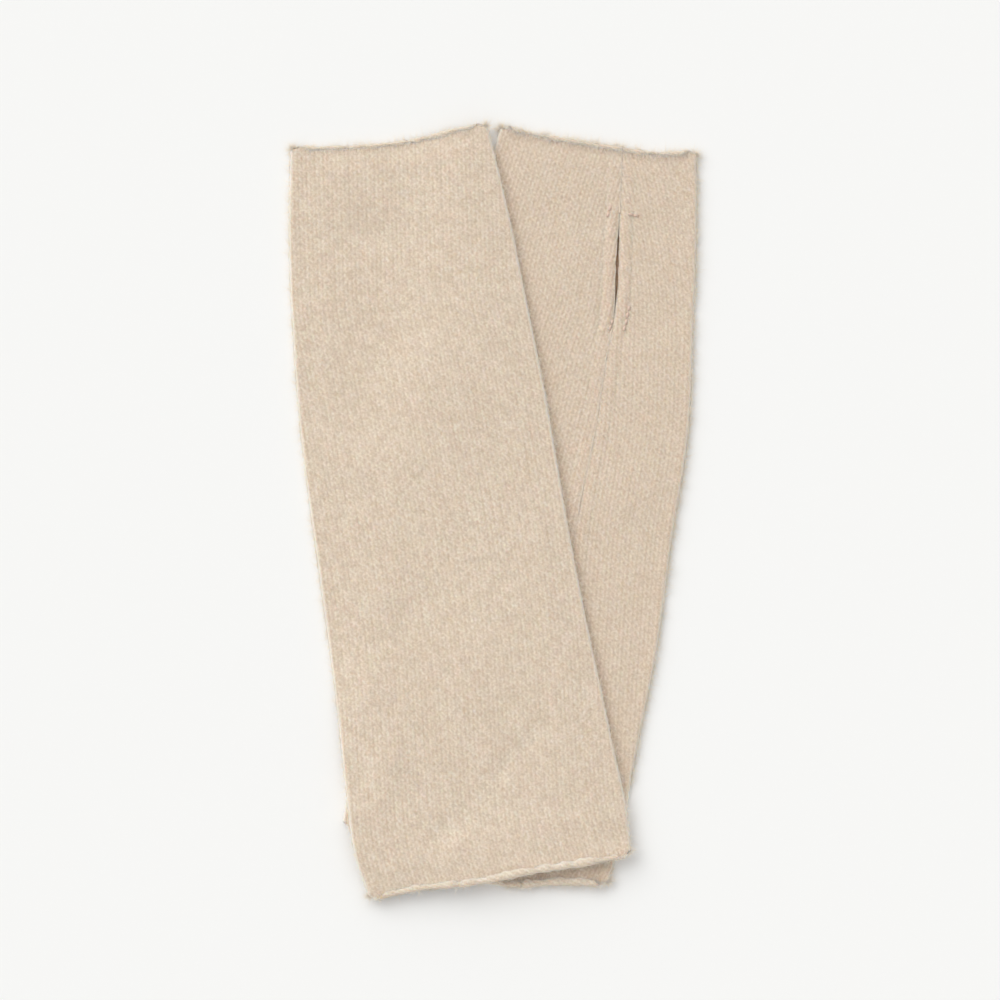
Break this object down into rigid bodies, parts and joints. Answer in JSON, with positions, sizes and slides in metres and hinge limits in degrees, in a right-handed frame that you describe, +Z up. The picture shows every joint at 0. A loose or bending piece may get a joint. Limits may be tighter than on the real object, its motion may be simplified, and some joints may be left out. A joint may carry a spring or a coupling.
{
  "type": "pair of knitted arm warmers",
  "caption": "Pair of fingerless knitted arm warmers laid flat, one across the other, each a shaped tube with rolled ends, a long seam and a thumb slit.",
  "frame": {"origin": "the middle of the pair's outline, on the flat surface that it lies on", "axes": "+Y from the arm ends to the hand ends, +X from the upper warmer's outer fold to the lower warmer's, +Z up off the surface"},
  "size_m": [0.1852, 0.3502, 0.0127],
  "materials": {
    "knit": "soft plain knit of oatmeal yarn, matt, with a light nap"
  },
  "bodies": {
    "root": {"lower_warmer": "knit", "upper_warmer": "knit"}
  },
  "joints": []
}
